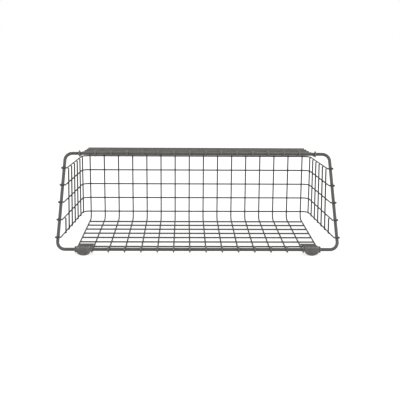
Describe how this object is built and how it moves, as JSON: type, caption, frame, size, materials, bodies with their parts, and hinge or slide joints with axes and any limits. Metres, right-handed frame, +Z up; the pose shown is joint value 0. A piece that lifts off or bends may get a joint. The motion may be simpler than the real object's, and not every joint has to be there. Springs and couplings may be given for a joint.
{
  "type": "wire basket",
  "caption": "Open wire basket folded from square mesh, with a thick rim round a sloped front mouth and two strap feet hooked over the rim; holds loose goods on a shelf or wall.",
  "frame": {"origin": "centre of the bounding box, at the height of the surface the basket stands on", "axes": "+Z up, -Y out of the open mouth, +Y towards the back panel, +X to the right for a viewer who faces the mouth"},
  "size_m": [0.447, 0.2158, 0.1511],
  "materials": {
    "wire_coating": "satin powder coat on thin wire",
    "rim_coating": "satin powder coat on the thick rim",
    "strap_coating": "satin powder coat on flat strap"
  },
  "bodies": {
    "root": {"floor_cross_1": "wire_coating", "floor_cross_2": "wire_coating", "floor_cross_3": "wire_coating", "floor_cross_4": "wire_coating", "floor_cross_5": "wire_coating", "floor_cross_6": "wire_coating", "floor_cross_7": "wire_coating", "left_foot": "strap_coating", "left_short_upright": "wire_coating", "left_upright_1": "wire_coating", "left_upright_2": "wire_coating", "left_upright_3": "wire_coating", "left_upright_4": "wire_coating", "left_upright_5": "wire_coating", "left_upright_6": "wire_coating", "long_wire_01": "wire_coating", "long_wire_02": "wire_coating", "long_wire_03": "wire_coating", "long_wire_04": "wire_coating", "long_wire_05": "wire_coating", "long_wire_06": "wire_coating", "long_wire_07": "wire_coating", "long_wire_08": "wire_coating", "long_wire_09": "wire_coating", "long_wire_10": "wire_coating", "long_wire_11": "wire_coating", "long_wire_12": "wire_coating", "long_wire_13": "wire_coating", "long_wire_14": "wire_coating", "long_wire_15": "wire_coating", "long_wire_16": "wire_coating", "right_foot": "strap_coating", "right_short_upright": "wire_coating", "right_upright_1": "wire_coating", "right_upright_2": "wire_coating", "right_upright_3": "wire_coating", "right_upright_4": "wire_coating", "right_upright_5": "wire_coating", "right_upright_6": "wire_coating", "rim": "rim_coating", "row_wire_1": "wire_coating", "row_wire_2": "wire_coating", "row_wire_3": "wire_coating", "row_wire_4": "wire_coating", "row_wire_5": "wire_coating", "top_cross_1": "wire_coating", "top_cross_2": "wire_coating", "top_cross_3": "wire_coating", "top_cross_4": "wire_coating", "top_cross_5": "wire_coating"}
  },
  "joints": []
}
